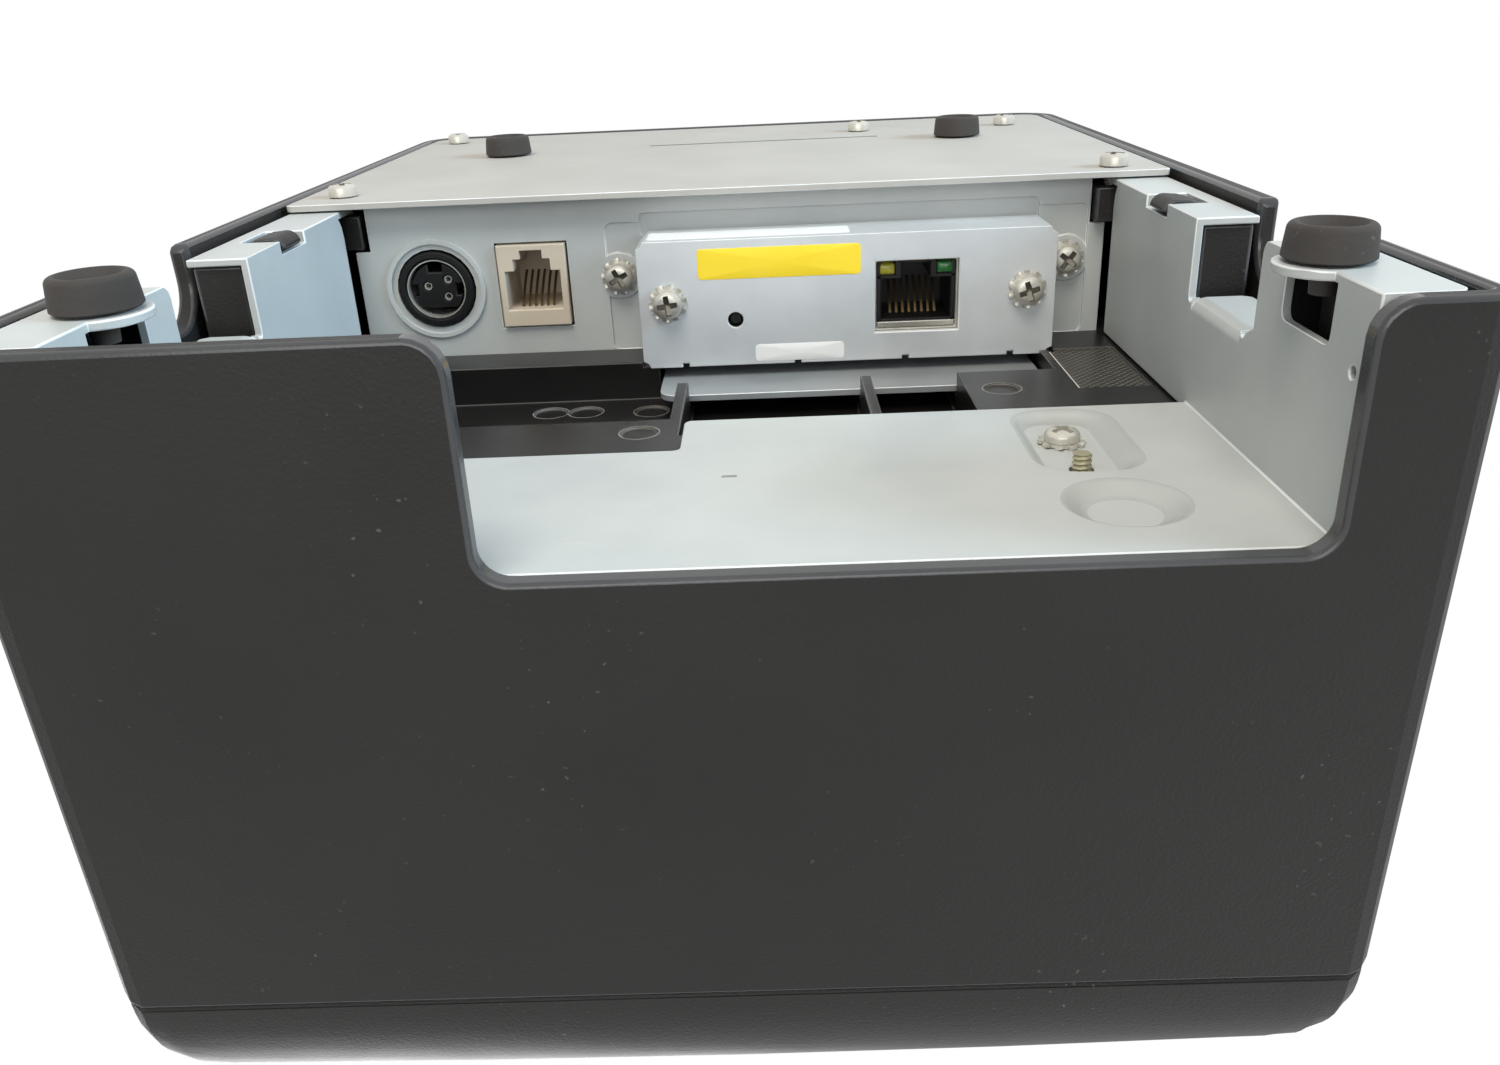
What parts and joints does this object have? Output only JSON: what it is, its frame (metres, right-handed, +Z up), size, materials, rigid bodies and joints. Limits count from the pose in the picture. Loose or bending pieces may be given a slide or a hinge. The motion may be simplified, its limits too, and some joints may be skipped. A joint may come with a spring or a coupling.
{
  "type": "receipt printer",
  "caption": "Charcoal desktop thermal receipt printer with a hinged roll cover, sheet-metal cable cavity with sockets, cable exits and rubber feet.",
  "frame": {"origin": "on the surface it stands on, under the middle of the printer", "axes": "+Z up, +Y towards the rear with the cable cavity, -Y towards the paper exit, +X towards the side with the control panel"},
  "size_m": [0.145, 0.1954, 0.148],
  "materials": {
    "charcoal_abs": "fine textured moulding",
    "black_plastic": "satin",
    "painted_steel": "satin zinc coat",
    "plate_steel": "satin zinc coat",
    "galvanised_steel": "spangled",
    "bright_zinc": "bright",
    "steel": "smooth",
    "aluminium": "cast",
    "foot_rubber": "matt",
    "platen_rubber": "ground",
    "ivory_plastic": "satin",
    "nylon": "satin",
    "circuit_board": "solder mask",
    "smoked_lens": "polished"
  },
  "bodies": {
    "housing": {"lower_case": "charcoal_abs", "bottom_plate": "plate_steel", "cavity_frame": "painted_steel", "connector_panel": "painted_steel", "interface_bracket": "galvanised_steel", "interface_board": "circuit_board", "lan_jack": "steel", "drawer_jack": "ivory_plastic", "power_socket": "black_plastic", "main_board": "circuit_board", "card_guide": "galvanised_steel", "chassis": "black_plastic", "plate_screw_1": "bright_zinc", "plate_screw_2": "bright_zinc", "plate_screw_3": "bright_zinc", "plate_screw_4": "bright_zinc", "plate_screw_5": "bright_zinc", "panel_screw_left": "bright_zinc", "panel_screw_right": "bright_zinc", "bracket_screw_left": "bright_zinc", "bracket_screw_right": "bright_zinc", "ground_screw": "bright_zinc", "ground_stud": "bright_zinc", "foot_rear_left": "foot_rubber", "foot_rear_right": "foot_rubber", "foot_front_left": "foot_rubber", "foot_front_right": "foot_rubber", "roll_bucket": "black_plastic", "mechanism_frame": "steel", "head_spring": "steel", "feed_motor": "black_plastic", "cutter_frame": "steel", "cutter_motor": "steel", "hinge_pin_left": "steel", "hinge_pin_right": "steel", "control_panel": "charcoal_abs", "indicator_lens": "smoked_lens", "power_switch": "black_plastic"},
    "roll_cover": {"roll_cover": "charcoal_abs", "cover_liner": "black_plastic", "fixed_blade": "steel", "platen_bush_left": "nylon", "platen_bush_right": "nylon"},
    "platen": {"platen_shaft": "steel", "platen_roller": "platen_rubber", "platen_gear": "nylon"},
    "idler_gear": {"idler_gear": "nylon"},
    "motor_pinion": {"motor_pinion": "bright_zinc"},
    "print_head": {"heat_sink": "aluminium", "thermal_head": "nylon"},
    "latch_bar": {"latch_bar": "steel"},
    "open_lever": {"open_lever": "charcoal_abs"},
    "moving_blade": {"moving_blade": "steel"},
    "cutter_gear": {"cutter_gear": "nylon"},
    "cutter_cover": {"cutter_cover": "charcoal_abs"},
    "feed_button": {"feed_button": "black_plastic"},
    "power_rocker": {"power_rocker": "black_plastic"},
    "near_end_lever": {"near_end_lever": "nylon"},
    "reset_button": {"reset_button": "black_plastic"}
  },
  "joints": [
    {"name": "roll_cover_hinge", "type": "hinge", "parent": "housing", "child": "roll_cover", "pos_m": [0, 0.09, 0.088], "axis": [-1, 0, 0], "range_deg": [0, 88]},
    {"name": "platen_spin", "type": "hinge", "parent": "roll_cover", "child": "platen", "pos_m": [0, -0.042, 0.12], "axis": [1, 0, 0], "continuous": true},
    {"name": "idler_gear_spin", "type": "hinge", "parent": "housing", "child": "idler_gear", "pos_m": [-0.0549, -0.04695, 0.09959], "axis": [1, 0, 0], "continuous": true},
    {"name": "motor_pinion_spin", "type": "hinge", "parent": "housing", "child": "motor_pinion", "pos_m": [-0.0549, -0.05997, 0.08995], "axis": [1, 0, 0], "continuous": true},
    {"name": "print_head_pivot", "type": "hinge", "parent": "housing", "child": "print_head", "pos_m": [0, -0.054, 0.111], "axis": [1, 0, 0], "range_deg": [0, 1.5], "stiffness_Nm_per_rad": 2},
    {"name": "latch_turn", "type": "hinge", "parent": "housing", "child": "latch_bar", "pos_m": [0, -0.064, 0.112], "axis": [1, 0, 0], "range_deg": [0, 13.1], "stiffness_Nm_per_rad": 0.4},
    {"name": "open_lever_press", "type": "slide", "parent": "housing", "child": "open_lever", "axis": [0, 0, -1], "range_m": [0, 0.0025]},
    {"name": "cutter_blade_slide", "type": "slide", "parent": "housing", "child": "moving_blade", "axis": [0, 1, 0], "range_m": [0, 0.008]},
    {"name": "cutter_gear_spin", "type": "hinge", "parent": "housing", "child": "cutter_gear", "pos_m": [0.025, -0.0754, 0.1349], "axis": [0, 0, 1], "range_deg": [0, 77]},
    {"name": "cutter_cover_slide", "type": "slide", "parent": "housing", "child": "cutter_cover", "axis": [0, -1, 0], "range_m": [0, 0.012]},
    {"name": "feed_button_press", "type": "slide", "parent": "housing", "child": "feed_button", "axis": [0, 1, 0], "range_m": [0, 0.0015], "stiffness_N_per_m": 400},
    {"name": "power_rocker_tilt", "type": "hinge", "parent": "housing", "child": "power_rocker", "pos_m": [-0.048, -0.09509, 0.021], "axis": [0, 0, 1], "range_deg": [-14, 0]},
    {"name": "near_end_lever_swing", "type": "hinge", "parent": "housing", "child": "near_end_lever", "pos_m": [-0.048, 0.036, 0.0636], "axis": [0, 0, 1], "range_deg": [-12, 0], "stiffness_Nm_per_rad": 0.01},
    {"name": "reset_button_press", "type": "slide", "parent": "housing", "child": "reset_button", "axis": [0, -1, 0], "range_m": [0, 0.0006], "stiffness_N_per_m": 300}
  ],
  "couplings": [
    {"joint": "idler_gear_spin", "follows": "platen_spin", "ratio": -0.75},
    {"joint": "motor_pinion_spin", "follows": "platen_spin", "ratio": 2.1429},
    {"joint": "latch_turn", "follows": "open_lever_press", "rad_per_m": 90.909},
    {"joint": "cutter_gear_spin", "follows": "cutter_blade_slide", "rad_per_m": 166.67}
  ]
}
